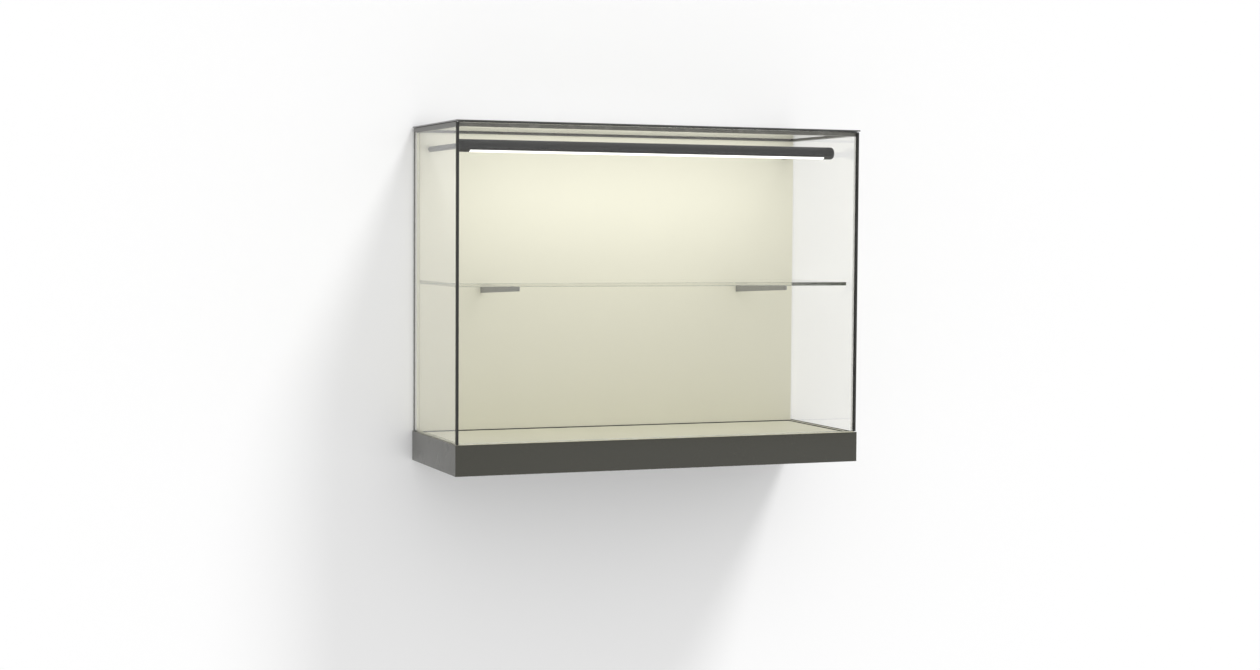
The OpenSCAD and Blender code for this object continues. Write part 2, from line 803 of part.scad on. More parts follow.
// Places of the cap screws: rows along the front and the wall, and one row on each side
module cap_screw_places() {
    row_x = rail_x - 2 * rail_leg;
    row_y = [hood_front_y + rail_leg / 2, -rail_rear / 2];
    for (i = [0 : cap_screws_long - 1])
        for (y = row_y)
            translate([row_x * (2 * i / (cap_screws_long - 1) - 1), y, cap_z + cap_t]) children();
    for (side = [-1, 1])
        for (i = [1 : cap_screws_side])
            translate([side * (rail_x - rail_leg / 2),
                       row_y[0] + (row_y[1] - row_y[0]) * i / (cap_screws_side + 1),
                       cap_z + cap_t]) children();
}

module cap_screw_holes() {
    cap_screw_places() sunk_screw(cap_screw_d, cap_screw_head, cap_screw_l + over, 2 * running);
}

module top_rail_front() {
    color(rail_paint) difference() {
        union() {
            block([-rail_x, rail_front_y, rail_z], [rail_x, rail_front_y + rail_leg, cap_z]);
            block([-rail_x + rail_leg, rail_front_y + rail_leg, rail_z],
                  [rail_x - rail_leg, rail_front_y + rail_leg + rail_ledge_w, rail_z + rail_ledge_t]);
        }
        cap_screw_holes();
    }
}

module top_rail_rear() {
    color(rail_paint) difference() {
        union() {
            block([-rail_x, -rail_rear, rail_z], [rail_x, 0, cap_z]);
            block([-rail_x + rail_leg, -rail_rear - rail_ledge_w, rail_z],
                  [rail_x - rail_leg, -rail_rear, rail_z + rail_ledge_t]);
        }
        cap_screw_holes();
        pan_bolt_holes();
    }
}

module top_rail_right() {
    color(rail_paint) difference() {
        union() {
            block([rail_x - rail_leg, rail_front_y + rail_leg, rail_z], [rail_x, -rail_rear, cap_z]);
            block([rail_x - rail_leg - rail_ledge_w, rail_front_y + rail_leg + rail_ledge_w, rail_z],
                  [rail_x - rail_leg, -rail_rear - rail_ledge_w, rail_z + rail_ledge_t]);
        }
        cap_screw_holes();
    }
}

module top_rail_left() {
    mirror([1, 0, 0]) top_rail_right();
}

module top_glass() {
    edge_x = rail_x - rail_leg - glazing_gap;
    color(clear_glass)
        ground_plate([-edge_x, rail_front_y + rail_leg + glazing_gap, rail_z + rail_ledge_t],
                     [edge_x, -rail_rear - glazing_gap, cap_z]);
}

module top_cap() {
    edge_x = pane_x + cap_overhang;
    edge_y = door_front_y - cap_overhang;
    color(cap_paint) difference() {
        block([-edge_x, edge_y, cap_z], [edge_x, 0, cap_z + cap_t]);
        block([-edge_x + cap_w, edge_y + cap_w, cap_z - over],
              [edge_x - cap_w, -cap_rear_w, cap_z + cap_t + over]);
        cap_screw_holes();
        rod_z(bush_d, cap_z - over, cap_z + cap_t + over, pivot_x, pivot_y);
    }
}

module cap_screws() {
    color(screw_black) cap_screw_places() sunk_screw(cap_screw_d, cap_screw_head, cap_screw_l);
}

// Gaskets on the front edges of the side panes
module door_seal() {
    color(black_rubber) both_sides()
        block([pane_in_x, hood_front_y - seal_t, base_top_z], [pane_x, hood_front_y, rail_z]);
}

// Gasket along the head of the doorway, in the colour of the rail behind it
module head_seal() {
    color(grey_rubber)
        block([-pane_x, hood_front_y - seal_t, rail_z], [pane_x, hood_front_y, cap_z - glazing_gap]);
}

module sill_seal() {
    edge_x = pane_x - stile_w - sill_inset;
    color(silicone_pale)
        block([-edge_x, door_front_y + sill_inset, base_top_z],
              [edge_x, door_back_y - sill_inset, door_z - sill_clear]);
}

// Door

module door_glass() {
    edge_x = pane_x - stile_w;
    color(clear_glass)
        ground_plate([-edge_x, door_front_y, door_z], [edge_x, door_back_y, door_top_z]);
}

module hinge_stile() {
    color(cap_paint) difference() {
        block([-pane_x, door_front_y, door_z], [-pane_x + stile_w, door_back_y, door_top_z]);
        rod_z(pin_d, door_z - over, door_z + pin_bite, pivot_x, pivot_y);
        rod_z(pin_d, door_top_z - pin_bite, door_top_z + over, pivot_x, pivot_y);
    }
}

module lock_stile() {
    color(cap_paint) difference() {
        block([pane_x - stile_w, door_front_y, door_z], [pane_x, door_back_y, door_top_z]);
        rod_z(pin_d + 2 * socket_clear, door_z - over, door_z + bolt_socket_depth, bolt_x, pivot_y);
    }
}

module pivot_pins() {
    pin_reach = bush_l - 2 * over;
    color(zinc) {
        rod_z(pin_d, base_top_z - pin_reach, door_z + pin_bite, pivot_x, pivot_y);
        rod_z(pin_d, door_top_z - pin_bite, cap_z + cap_t, pivot_x, pivot_y);
    }
}

module pivot_washer() {
    color(washer_black) difference() {
        rod_z(bush_d - 4 * running, base_top_z, door_z, pivot_x, pivot_y);
        rod_z(pin_d + 2 * running, base_top_z - over, door_z + over, pivot_x, pivot_y);
    }
}

// One bush in the rim and one in the cap
module pivot_bushes() {
    color(bush_bronze) difference() {
        union() {
            rod_z(bush_d, base_top_z - bush_l, base_top_z, pivot_x, pivot_y);
            rod_z(bush_d, cap_z, cap_z + cap_t, pivot_x, pivot_y);
        }
        rod_z(pin_d + 2 * running, base_top_z - bush_l - over, cap_z + cap_t + over, pivot_x, pivot_y);
    }
}

// Shelf

// Tapered blade with a tang that is bolted into the upright behind the panel
module bracket_profile() {
    nose_z = bracket_z - bracket_front_h;
    translate([blade_front_y + bracket_nose_r, nose_z + bracket_nose_r]) circle(bracket_nose_r);
    polygon([
        [tang_rear_y, bracket_z],
        [blade_front_y, bracket_z],
        [blade_front_y, nose_z + bracket_nose_r],
        [blade_front_y + bracket_nose_r, nose_z],
        [-back_depth, bracket_z - bracket_rear_h],
        [tang_front_y, bracket_z - bracket_rear_h],
        [tang_front_y, bracket_z - tang_h],
        [tang_rear_y, bracket_z - tang_h]
    ]);
}

module shelf_bracket_right() {
    color(blade_grey) translate([bracket_x, 0, 0]) difference() {
        along_x(bracket_t) bracket_profile();
        bracket_bolt_rows(-1, 0) rod_x(bracket_bolt_d + 2 * running, -bracket_t, bracket_t, 0, 0);
    }
}

module shelf_bracket_left() {
    mirror([1, 0, 0]) shelf_bracket_right();
}

module bracket_bolts() {
    head_h = bolt_head_h * bracket_bolt_d;
    nut_h = bolt_nut_h * bracket_bolt_d;
    head_d = bolt_head_w * bracket_bolt_d;
    color(zinc) both_sides() translate([bracket_x, 0, 0]) bracket_bolt_rows(-1, 0) {
        rod_x(bracket_bolt_d, -channel_half, channel_half, 0, 0);
        rod_x(head_d, -channel_half - head_h, -channel_half, 0, 0);
        rotate([0, 90, 0]) translate([0, 0, channel_half]) cylinder(h = nut_h, d = head_d, $fn = 6);
    }
}

module shelf_pads() {
    color(black_rubber) both_sides()
        for (y = [blade_front_y + pad_inset, shelf_rear_y - pad_inset - pad_l])
            block([bracket_x - bracket_t / 2, y, bracket_z],
                  [bracket_x + bracket_t / 2, y + pad_l, bracket_z + pad_t]);
}

module glass_shelf() {
    edge_x = pane_in_x - shelf_side_gap;
    color(clear_glass)
        ground_plate([-edge_x, shelf_front_y, shelf_z - shelf_t], [edge_x, shelf_rear_y, shelf_z]);
}

// Lamp

module lamp_arm_right() {
    color(lamp_paint) difference() {
        rod_y(arm_d, arm_front_y, arm_rear_y, arm_x, lamp_z);
        rod_y(arm_bore, arm_front_y - over, arm_rear_y + over, arm_x, lamp_z);
    }
}

module lamp_arm_left() {
    mirror([1, 0, 0]) lamp_arm_right();
}

// Round holder with a soft outer edge, and the stub that the lamp turns on
module lamp_holder_right() {
    stub_l = turn_gap + plug_l - stub_gap;
    color(lamp_paint) difference() {
        translate([holder_end_x, lamp_y, lamp_z]) rotate([0, -90, 0]) rotate_extrude() {
            square([lamp_r - holder_round, holder_l]);
            translate([0, holder_round]) square([lamp_r, holder_l - holder_round]);
            intersection() {
                translate([lamp_r - holder_round, holder_round]) circle(holder_round);
                square([lamp_r, holder_l]);
            }
            square([stub_d / 2, holder_l + stub_l]);
        }
        rod_y(arm_d + 2 * running, arm_front_y - running, lamp_y + lamp_d, arm_x, lamp_z);
    }
}

module lamp_holder_left() {
    mirror([1, 0, 0]) lamp_holder_right();
}

module at_lamp() {
    translate([0, lamp_y, lamp_z]) children();
}

// Round extrusion, flat where the lens sits, with a light chamber below and a wire duct above
module lamp_tube() {
    color(lamp_paint) at_lamp() along_x(2 * tube_end_x) difference() {
        circle(d = lamp_d);
        translate([-lamp_d, -lamp_d]) square([2 * lamp_d, lamp_d + lens_plane]);
        translate([-chamber_w / 2, -lamp_d]) square([chamber_w, lamp_d + chamber_top]);
        intersection() {
            circle(d = lamp_d - 2 * lamp_wall);
            translate([-lamp_d, duct_floor]) square([2 * lamp_d, lamp_d]);
        }
    }
}

// Opal cover that completes the round section, with two legs that clip into the chamber
module lamp_lens() {
    leg_t = 1.5;
    leg_h = 3;
    leg_x = chamber_w / 2 - running;
    color("white") at_lamp() along_x(2 * tube_end_x) {
        difference() {
            circle(d = lamp_d);
            circle(d = lamp_d - 2 * lens_wall);
            translate([-lamp_d, lens_plane]) square(2 * lamp_d);
        }
        for (y = [-leg_x, leg_x - leg_t])
            translate([y, lens_plane - lens_wall / 2]) square([leg_t, leg_h + lens_wall / 2]);
    }
}

module led_board() {
    color(board_white) at_lamp()
        block([-tube_end_x + over, -board_w / 2, chamber_top - board_t],
              [tube_end_x - over, board_w / 2, chamber_top]);
}

module led_chips() {
    chip = [5, 3.5, 0.8];
    count = floor((2 * tube_end_x - chip_pitch) / chip_pitch);
    chip_z = chamber_top - board_t - chip.z / 2;
    color(chip_yellow) at_lamp() for (i = [0 : count - 1])
        translate([(i - (count - 1) / 2) * chip_pitch, 0, chip_z]) cube(chip, center = true);
}

module lamp_end_plugs() {
    color(lamp_paint) both_sides() at_lamp() difference() {
        rod_x(lamp_d, tube_end_x, plug_end_x, 0, 0);
        rod_x(stub_d + 2 * running, tube_end_x - over, plug_end_x + over, 0, 0);
    }
}

// Lock

module lock_bracket() {
    side = housing_flange_d / 2 + lock_plate_margin;
    low_x = lock_x - side;
    high_x = lock_x + side;
    color(zinc) difference() {
        union() {
            block([low_x, shell_in_y, lock_plate_z], [high_x, lock_y + side, lock_plate_z + sheet]);
            block([low_x, shell_in_y, lock_plate_z], [high_x, shell_in_y + sheet, lock_plate_z + lock_leg_h]);
        }
        rod_z(housing_d + 2 * running, lock_plate_z - over, lock_plate_z + sheet + over, lock_x, lock_y);
    }
}

module lock_housing() {
    color(lock_chrome) difference() {
        union() {
            rod_z(housing_flange_d, housing_z, lock_plate_z, lock_x, lock_y);
            rod_z(housing_d, lock_plate_z, housing_top_z, lock_x, lock_y);
        }
        rod_z(plunger_d + 2 * running, housing_z - over, housing_top_z + over, lock_x, lock_y);
    }
}

module lock_nut() {
    nut_z = lock_plate_z + sheet;
    nut_d = housing_flange_d + lock_nut_extra;
    color(zinc) difference() {
        translate([lock_x, lock_y, nut_z]) cylinder(h = lock_nut_h, d = nut_d, $fn = 6);
        rod_z(housing_d + 2 * running, nut_z - over, nut_z + lock_nut_h + over, lock_x, lock_y);
    }
}

module lock_plunger() {
    color(lock_chrome) difference() {
        rod_z(plunger_d, floor_z, carrier_z, lock_x, lock_y);
        rod_z(plug_d + 2 * running, floor_z - over, floor_z + key_plug_l + running, lock_x, lock_y);
    }
}

// Arm on top of the plunger that reaches across to the bolt
module lock_carrier() {
    reach = sqrt(lock_side * lock_side + lock_back * lock_back);
    turn = atan2(-lock_back, lock_side);
    color(zinc) difference() {
        union() {
            rod_z(plunger_d, carrier_z, carrier_z + carrier_t, lock_x, lock_y);
            rod_z(carrier_w, carrier_z, carrier_z + carrier_t, bolt_x, pivot_y);
            translate([lock_x, lock_y, carrier_z]) rotate([0, 0, turn]) translate([0, -carrier_w / 2, 0])
                cube([reach, carrier_w, carrier_t]);
        }
        rod_z(pin_d + 2 * running, carrier_z - over, carrier_z + carrier_t + over, bolt_x, pivot_y);
    }
}

module lock_bolt() {
    color(zinc) rod_z(pin_d, carrier_z, bolt_tip_z, bolt_x, pivot_y);
}

module lock_plug() {
    keyway = [1.2, 5, 9];
    color(key_brass) difference() {
        rod_z(plug_d, floor_z, floor_z + key_plug_l, lock_x, lock_y);
        translate([lock_x - keyway.x / 2, lock_y - keyway.y / 2, floor_z - over]) cube(keyway + [0, 0, over]);
    }
}

back_pan();
fixing_plates();
upright_left();
upright_right();
panel_posts();
panel_magnets();
back_panel();
arm_sockets();
pan_bolts();
pane_tapes();
base_shell();
base_rim();
base_cover();
cover_screws();
deck_panel();
deck_seal();
deck_bearers();
led_driver();
terminal_block();
cable_grommet();
left_glass();
right_glass();
setting_blocks();
top_rail_front();
top_rail_rear();
top_rail_left();
top_rail_right();
top_glass();
top_cap();
cap_screws();
door_seal();
head_seal();
sill_seal();
door_glass();
hinge_stile();
lock_stile();
pivot_pins();
pivot_washer();
pivot_bushes();
shelf_bracket_left();
shelf_bracket_right();
bracket_bolts();
shelf_pads();
glass_shelf();
lamp_arm_left();
lamp_arm_right();
lamp_holder_left();
lamp_holder_right();
lamp_tube();
lamp_lens();
led_board();
led_chips();
lamp_end_plugs();
lock_bracket();
lock_housing();
lock_nut();
lock_plunger();
lock_carrier();
lock_bolt();
lock_plug();
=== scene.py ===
"""Looks of a wall mounted glass showcase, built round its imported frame.

The construction comes from the frame: every metal, rubber and electrical part keeps its place and size.
This file eases the edges, glazes the panes, cuts the screw sockets and gives each surface its finish.
Lengths are metres, X runs to the viewer's right, Y into the wall and Z up.
"""

import json
from math import atan2, cos, hypot, pi, radians

import bmesh
import bpy
from bpy.props import FloatProperty, FloatVectorProperty, PointerProperty
from mathutils import Matrix, Vector


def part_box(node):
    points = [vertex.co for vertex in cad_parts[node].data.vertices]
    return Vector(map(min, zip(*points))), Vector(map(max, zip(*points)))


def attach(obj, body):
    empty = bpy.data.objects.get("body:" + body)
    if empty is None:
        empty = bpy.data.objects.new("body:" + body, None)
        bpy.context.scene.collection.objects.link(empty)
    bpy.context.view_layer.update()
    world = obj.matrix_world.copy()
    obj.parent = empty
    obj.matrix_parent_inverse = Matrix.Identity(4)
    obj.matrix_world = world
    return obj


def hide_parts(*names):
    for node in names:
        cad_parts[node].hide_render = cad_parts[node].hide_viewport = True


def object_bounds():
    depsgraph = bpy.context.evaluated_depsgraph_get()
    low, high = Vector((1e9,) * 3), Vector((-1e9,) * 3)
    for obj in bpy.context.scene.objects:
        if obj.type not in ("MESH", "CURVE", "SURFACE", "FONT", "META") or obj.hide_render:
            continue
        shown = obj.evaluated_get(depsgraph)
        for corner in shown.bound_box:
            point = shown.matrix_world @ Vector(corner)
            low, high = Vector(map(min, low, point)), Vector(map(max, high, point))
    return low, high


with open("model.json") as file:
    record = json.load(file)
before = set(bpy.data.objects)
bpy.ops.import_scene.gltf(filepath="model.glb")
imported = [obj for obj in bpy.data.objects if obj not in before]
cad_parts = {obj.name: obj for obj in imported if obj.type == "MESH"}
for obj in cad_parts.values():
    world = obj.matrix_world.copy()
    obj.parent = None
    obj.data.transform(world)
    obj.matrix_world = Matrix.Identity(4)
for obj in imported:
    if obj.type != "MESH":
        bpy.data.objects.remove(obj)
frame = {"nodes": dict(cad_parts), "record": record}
CAD_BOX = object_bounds()

bl_info = {
    "name": "Wall Showcase Looks",
    "version": (1, 0, 0),
    "blender": (4, 5, 0),
    "location": "View3D > Sidebar > Showcase",
    "description": "Finishes a wall mounted glass showcase round its packed frame",
    "category": "Object",
}

MM = 0.001

# Image that the camera is set for, and the sensor behind its lens in millimetres
IMAGE_W = 1260
SENSOR_W = 36.0
# Half the width of backdrop and floor, and how far the case's light hangs below the lens
STAGE_REACH = 6.0
BEAM_GAP = 2 * MM

# Vertices closer than this are one, and faces that turn less than this are one flat face
WELD = 0.005 * MM
FLAT_ANGLE = radians(0.5)
# Edges that turn more than this are eased, and shade as separate faces
SHARP_ANGLE = radians(50)
SHADE_ANGLE = radians(20)
EASE_SEGMENTS = 2
# An edge shorter than this many roundings stays sharp, and thin rubber has this share of the rounding
EASE_REACH = 4
THIN_SHARE = 0.5
# A face of a pane is its rear edge or an end where its normal has at least this much of Y or of X
REAR_FACING = 0.9
END_FACING = 0.5
# A screw's shank and its socket's depth as shares of the head,
# and the flat rim as a share of the socket
SCREW_STEPS = 36
SHANK_SHARE = 0.5
SOCKET_DEPTH = 0.7
SOCKET_RIM = 1.25

# Colours of bought-in parts, of plated metal and of the panes' edges seen from within
WHITE = (1.0, 1.0, 1.0)
BLACK_RUBBER = (0.014, 0.014, 0.014)
FOAM_TAPE = (0.87, 0.852, 0.71)
# Painted shade for the dark line along the side panes' rear edges
EDGE_SHADE_PAINT = (0.05, 0.052, 0.05)
BLACK_NYLON = (0.02, 0.02, 0.02)
DRIVER_CASE = (0.76, 0.76, 0.73)
LIGHT_BOARD = (0.85, 0.85, 0.82)
LIGHT_CHIP = (0.9, 0.8, 0.4)
CHIP_GLOW = (1.0, 0.93, 0.75)
OPAL = (0.9, 0.9, 0.88)
ZINC = (0.6, 0.61, 0.62)
MAGNET = (0.6, 0.6, 0.62)
BLACK_STEEL = (0.03, 0.03, 0.03)
PIN_STEEL = (0.55, 0.55, 0.55)
BRONZE = (0.45, 0.29, 0.12)
CHROME = (0.62, 0.62, 0.61)
BRASS = (0.55, 0.4, 0.16)
DARK_EDGE = (0.16, 0.17, 0.165)
PALE_EDGE = (0.7, 0.71, 0.68)

# What a face of glass mirrors when seen square, and what a grazing view adds
SIDE_MIRROR = (0.065, 0.52)
FRONT_MIRROR = (0.012, 0.87)
LEVEL_MIRROR = (0.012, 0.98)
GLASS_IOR = 1.5
# How much of the clear gasket covers what is behind it
CLEAR_COVER = 0.25
# How far the fine lines of an extrusion run along X, Y and Z, and its roughness and shine
BAR_LINES, TUBE_LINES, ARM_LINES = (1.0, 1.0, 60.0), (80.0, 1.0, 1.0), (1.0, 80.0, 1.0)
BAR_GLOSS = (0.55, 0.12)
LAMP_GLOSS = (0.4, 0.35)


class ShowcaseColours(bpy.types.PropertyGroup):
    """Colours of the finishes"""

    base: FloatVectorProperty(
        name="Base paint", description="Powder coat of the base",
        subtype="COLOR", default=(0.015, 0.014, 0.004))
    rail: FloatVectorProperty(
        name="Rail paint", description="Powder coat of the top rails",
        subtype="COLOR", default=(0.09, 0.088, 0.08))
    head: FloatVectorProperty(
        name="Head gasket", description="Grey rubber over the door",
        subtype="COLOR", default=(0.18, 0.176, 0.16))
    cap: FloatVectorProperty(
        name="Cap", description="Dark cap and door bars",
        subtype="COLOR", default=(0.04, 0.04, 0.038))
    cream: FloatVectorProperty(
        name="Cream panel", description="Lacquer of the back panel and the pan behind it",
        subtype="COLOR", default=(0.77, 0.755, 0.63))
    deck: FloatVectorProperty(
        name="Cream deck", description="Lacquer of the deck and of the rim round it",
        subtype="COLOR", default=(0.68, 0.665, 0.54))
    lamp: FloatVectorProperty(
        name="Lamp", description="Dark anodised lamp, holders and arms",
        subtype="COLOR", default=(0.041, 0.041, 0.041))
    blade: FloatVectorProperty(
        name="Shelf blades", description="Satin paint of the shelf blades",
        subtype="COLOR", default=(0.27, 0.27, 0.255))
    glass: FloatVectorProperty(
        name="Glass", description="What one face of a pane lets through, seen square",
        subtype="COLOR", default=(0.99, 0.99, 0.985))
    glass_slant: FloatVectorProperty(
        name="Glass aslant",
        description="What one face of a pane lets through, seen at a grazing angle",
        subtype="COLOR", default=(0.98, 0.98, 0.975))
    glass_shadow: FloatVectorProperty(
        name="Glass shadow", description="What one face of a pane lets through from the key light",
        subtype="COLOR", default=(0.4, 0.4, 0.4))
    glass_edge: FloatVectorProperty(
        name="Glass edge", description="What a polished edge of a pane lets through",
        subtype="COLOR", default=(0.985, 0.985, 0.98))
    band: FloatVectorProperty(
        name="Printed band", description="Print along the top of the side panes, over the rails",
        subtype="COLOR", default=(0.19, 0.188, 0.18))
    light: FloatVectorProperty(
        name="Lamp light", description="Colour of the lens when lit",
        subtype="COLOR", default=(1.0, 0.985, 0.95))


class ShowcaseDetails(bpy.types.PropertyGroup):
    """Sizes of the details that the frame leaves plain"""

    ease: FloatProperty(
        name="Sheet edges", description="Rounding of painted sheet edges",
        unit="LENGTH", default=0.5 * MM)
    soft_ease: FloatProperty(
        name="Moulded edges", description="Rounding of moulded and rubber edges",
        unit="LENGTH", default=0.3 * MM)
    arris: FloatProperty(
        name="Pane arris", description="Ground edge of the panes",
        unit="LENGTH", default=0.6 * MM)
    # Width of a strip of painted shade on the side panes' rear edges, where a glass edge shows dark
    bead: FloatProperty(
        name="Sealant bead", description="Width of the dark bead on the panes' rear edges",
        unit="LENGTH", default=4 * MM)
    socket_share: FloatProperty(
        name="Screw socket", description="Width of a screw's hexagon socket as a share of its head",
        subtype="FACTOR", default=0.5)
    lens_light: FloatProperty(
        name="Lens light", description="Strength of the lit lens", default=1.0)


class ShowcaseStage(bpy.types.PropertyGroup):
    """Camera and light"""

    eye: FloatVectorProperty(
        name="Eye", description="Where the camera stands",
        subtype="TRANSLATION", default=(-1.795, -4.689, 0.124))
    yaw: FloatProperty(
        name="Yaw", description="Turn of the camera to the right",
        subtype="ANGLE", default=radians(21.54))
    pitch: FloatProperty(
        name="Pitch", description="Tilt of the camera downwards",
        subtype="ANGLE", default=radians(2.914))
    roll: FloatProperty(
        name="Roll", description="Turn of the camera about its own line of sight",
        subtype="ANGLE", default=radians(-0.371))
    focal_px: FloatProperty(
        name="Focal length", description="Focal length in pixels of the image", default=2040.4)
    sun_towards: FloatVectorProperty(
        name="Key light", description="Direction that the key light travels in",
        subtype="DIRECTION", default=(-0.36, 0.41, -0.84))
    sun_strength: FloatProperty(
        name="Key strength", description="Light of the key on a face square to it", default=1.5)
    sun_spread: FloatProperty(
        name="Key spread", description="Angle that the key light fills",
        subtype="ANGLE", default=radians(16))
    beam_power: FloatProperty(
        name="Case light", description="Light that falls from the lens into the case",
        unit="POWER", default=1.25)
    beam_tilt: FloatProperty(
        name="Case light tilt", description="Turn of that light towards the back panel",
        subtype="ANGLE", default=radians(42))
    sky_light: FloatProperty(
        name="Room light", description="Even light from all round", default=0.85)
    wall: FloatVectorProperty(
        name="Backdrop", description="Colour of backdrop and floor",
        subtype="COLOR", default=(0.96, 0.96, 0.96))
    wall_gap: FloatProperty(
        name="Backdrop gap", description="Distance of the backdrop behind the case",
        unit="LENGTH", default=2 * MM)
    floor_drop: FloatProperty(
        name="Floor drop", description="Distance of the floor below the case",
        unit="LENGTH", default=0.75)


# Node trees


class Value:
    """A node's output that takes part in sums as a number does."""

    def __init__(self, recipe, socket):
        self.recipe = recipe
        self.socket = socket

    def math(self, operation, first, second):
        return self.recipe.node("ShaderNodeMath", {"operation": operation}, {0: first, 1: second})

    def __add__(self, other):
        return self.math("ADD", self, other)

    __radd__ = __add__

    def __sub__(self, other):
        return self.math("SUBTRACT", self, other)

    def __rsub__(self, other):
        return self.math("SUBTRACT", other, self)

    def __mul__(self, other):
        return self.math("MULTIPLY", self, other)

    __rmul__ = __mul__

    def __pow__(self, other):
        return self.math("POWER", self, other)

    def least(self, other):
        return self.math("MINIMUM", self, other)

    def most(self, other):
        return self.math("MAXIMUM", self, other)


class Recipe:
    """The nodes of one material, or of the world."""

    def __init__(self, owner):
        owner.use_nodes = True
        self.tree = owner.node_tree
        self.tree.nodes.clear()

    def node(self, kind, settings=None, inputs=None, output=0):
        """Adds one node, sets it, feeds its sockets with values or links, and gives one output."""
        made = self.tree.nodes.new(kind)
        for name, value in (settings or {}).items():
            setattr(made, name, value)
        for key, value in (inputs or {}).items():
            if isinstance(value, Value):
                self.tree.links.new(value.socket, made.inputs[key])
            else:
                made.inputs[key].default_value = value
        return Value(self, made.outputs[output]) if made.outputs else None

    def place(self):
        return self.node("ShaderNodeTexCoord", output="Object")

    def grain(self, size, detail=2.0, stretch=(1.0, 1.0, 1.0)):
        """Noise whose spots are about size across, drawn out along an axis where stretch is above 1."""
        scale = [1.0 / (size * s) for s in stretch]
        spot = self.node("ShaderNodeMapping", {"vector_type": "POINT"},
                         {"Vector": self.place(), "Scale": scale})
        return self.node("ShaderNodeTexNoise", {"noise_dimensions": "3D"},
                         {"Vector": spot, "Scale": 1.0, "Detail": detail, "Roughness": 0.5})

    def cells(self, size):
        """Random value for each cell of a crystal pattern."""
        colour = self.node("ShaderNodeTexVoronoi", {"feature": "F1"},
                           {"Vector": self.place(), "Scale": 1.0 / size}, output="Color")
        return self.node("ShaderNodeSeparateColor", inputs={"Color": colour})

    def fade(self, value, start, end):
        """A soft step from 0 at start to 1 at end."""
        return self.node("ShaderNodeMapRange", {"interpolation_type": "SMOOTHSTEP"},
                         {"Value": value, "From Min": start, "From Max": end})

    def mix(self, share, first, second):
        return self.node("ShaderNodeMix", {"data_type": "RGBA"},
                         {0: share, 6: first, 7: second}, output=2)

    def mottle(self, colour, by, share):
        """The colour, up to a share darker or lighter as by goes from 0 to 1."""
        return self.mix(by, shade(colour, 1 - share), shade(colour, 1 + share))

    def relief(self, height, depth):
        return self.node("ShaderNodeBump",
                         inputs={"Strength": 1.0, "Distance": depth, "Height": height})

    def edge_wear(self, low, high, width):
        """1 along the edges of a box and 0 on its faces, with a ragged border."""
        spot = self.node("ShaderNodeSeparateXYZ", inputs={0: self.place()})
        axes = [Value(self, out) for out in spot.socket.node.outputs]
        reach = [(axis - a).least(b - axis) for axis, a, b in zip(axes, low, high)]
        near, far = reach[0].least(reach[1]), reach[0].most(reach[1])
        second = near.most(far.least(reach[2]))
        ragged = second + (self.grain(4 * MM, 4.0) - 0.5) * (2 * width)
        return 1 - self.fade(ragged, 0.0, width)

    def show(self, shader):
        self.node("ShaderNodeOutputMaterial", inputs={"Surface": shader})

    def surface(self, **inputs):
        """Ends the material in one principled surface; a name's underscores are spaces."""
        named = {name.replace("_", " "): value for name, value in inputs.items()}
        self.show(self.node("ShaderNodeBsdfPrincipled", inputs=named))


def shade(colour, level=1.0):
    """An opaque colour, darkened or lightened."""
    return (*[min(c * level, 1.0) for c in colour], 1.0)


def material(name, write, *values):
    """The finish of that name, written by its function when it is first asked for."""
    name += "_finish"
    made = bpy.data.materials.get(name)
    if made is None:
        made = bpy.data.materials.new(name)
        write(Recipe(made), *values)
    return made


# Finishes


def powder_coat(r, colour, low, high):
    """Satin powder coat with orange peel, faint handling marks and rubbed edges."""
    peel = r.grain(1.4 * MM)
    hands = r.grain(60 * MM, 3.0)
    worn = r.edge_wear(low, high, 1.2 * MM)
    painted = r.mottle(colour, r.grain(25 * MM, 4.0), 0.05)
    r.surface(Base_Color=r.mix(worn * 0.5, painted, shade(colour, 2.2)),
              Roughness=0.2 + hands * 0.08 + peel * 0.05 - worn * 0.05, Specular_IOR_Level=0.55,
              Coat_Weight=0.35, Coat_Roughness=0.2, Normal=r.relief(peel, 0.02 * MM))


def lacquer(r, colour):
    """Smooth sprayed lacquer, a little uneven in tone and gloss."""
    peel = r.grain(0.9 * MM)
    cloud = r.grain(120 * MM, 3.0)
    r.surface(Base_Color=r.mottle(colour, cloud, 0.012), Roughness=0.5 + cloud * 0.08 + peel * 0.04,
              Normal=r.relief(peel, 0.008 * MM), Specular_IOR_Level=0.3)


def anodised(r, colour, stretch, gloss, shine):
    """Anodised aluminium with fine lines along the length of the extrusion."""
    lines = r.grain(0.25 * MM, 3.0, stretch)
    cloud = r.grain(40 * MM, 2.0)
    r.surface(Base_Color=r.mottle(colour, lines, 0.05), Roughness=gloss + lines * 0.12 + cloud * 0.06,
              Normal=r.relief(lines, 0.01 * MM), Specular_IOR_Level=shine)


def satin_paint(r, colour, low, high):
    """Satin paint on bar, with rubbed edges."""
    peel = r.grain(1.0 * MM)
    worn = r.edge_wear(low, high, 0.8 * MM)
    r.surface(Base_Color=r.mix(worn * 0.5, r.mottle(colour, r.grain(15 * MM, 3.0), 0.04),
                               shade(colour, 1.6)),
              Roughness=0.42 + peel * 0.1, Normal=r.relief(peel, 0.01 * MM))


def zinc_plate(r, colour):
    """Bright zinc with a fine crystal pattern."""
    crystal = r.cells(4 * MM)
    haze = r.grain(12 * MM, 3.0)
    r.surface(Base_Color=r.mottle(colour, crystal, 0.1), Metallic=1.0,
              Roughness=0.28 + crystal * 0.1 + haze * 0.15)


def turned_metal(r, colour, gloss):
    """Plated or turned metal with fine lines."""
    lines = r.grain(0.2 * MM, 2.0, (1.0, 1.0, 0.2))
    haze = r.grain(6 * MM, 2.0)
    r.surface(Base_Color=r.mottle(colour, haze, 0.08), Metallic=1.0,
              Roughness=gloss + lines * 0.1 + haze * 0.06, Normal=r.relief(lines, 0.004 * MM))


